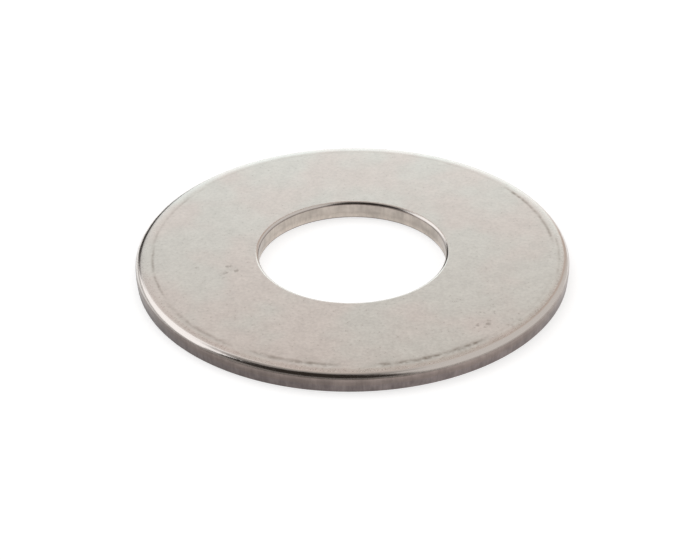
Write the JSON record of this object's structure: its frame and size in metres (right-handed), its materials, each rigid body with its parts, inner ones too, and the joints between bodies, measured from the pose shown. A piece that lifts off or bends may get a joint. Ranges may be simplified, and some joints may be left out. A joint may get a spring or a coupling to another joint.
{
  "type": "flat washer",
  "caption": "Plain flat round washer in bare steel sheet, with rolled edges on its top face, to spread a bolt's or nut's load.",
  "frame": {"origin": "centre of the bottom face, on the axis of the hole", "axes": "+Z along the axis of the hole, out of the face with the rolled edges; X and Y are any two directions across the round face"},
  "size_m": [0.0381, 0.038, 0.0016],
  "materials": {
    "steel": "satin, tumbled after stamping"
  },
  "bodies": {
    "root": {"flat_washer": "steel"}
  },
  "joints": []
}
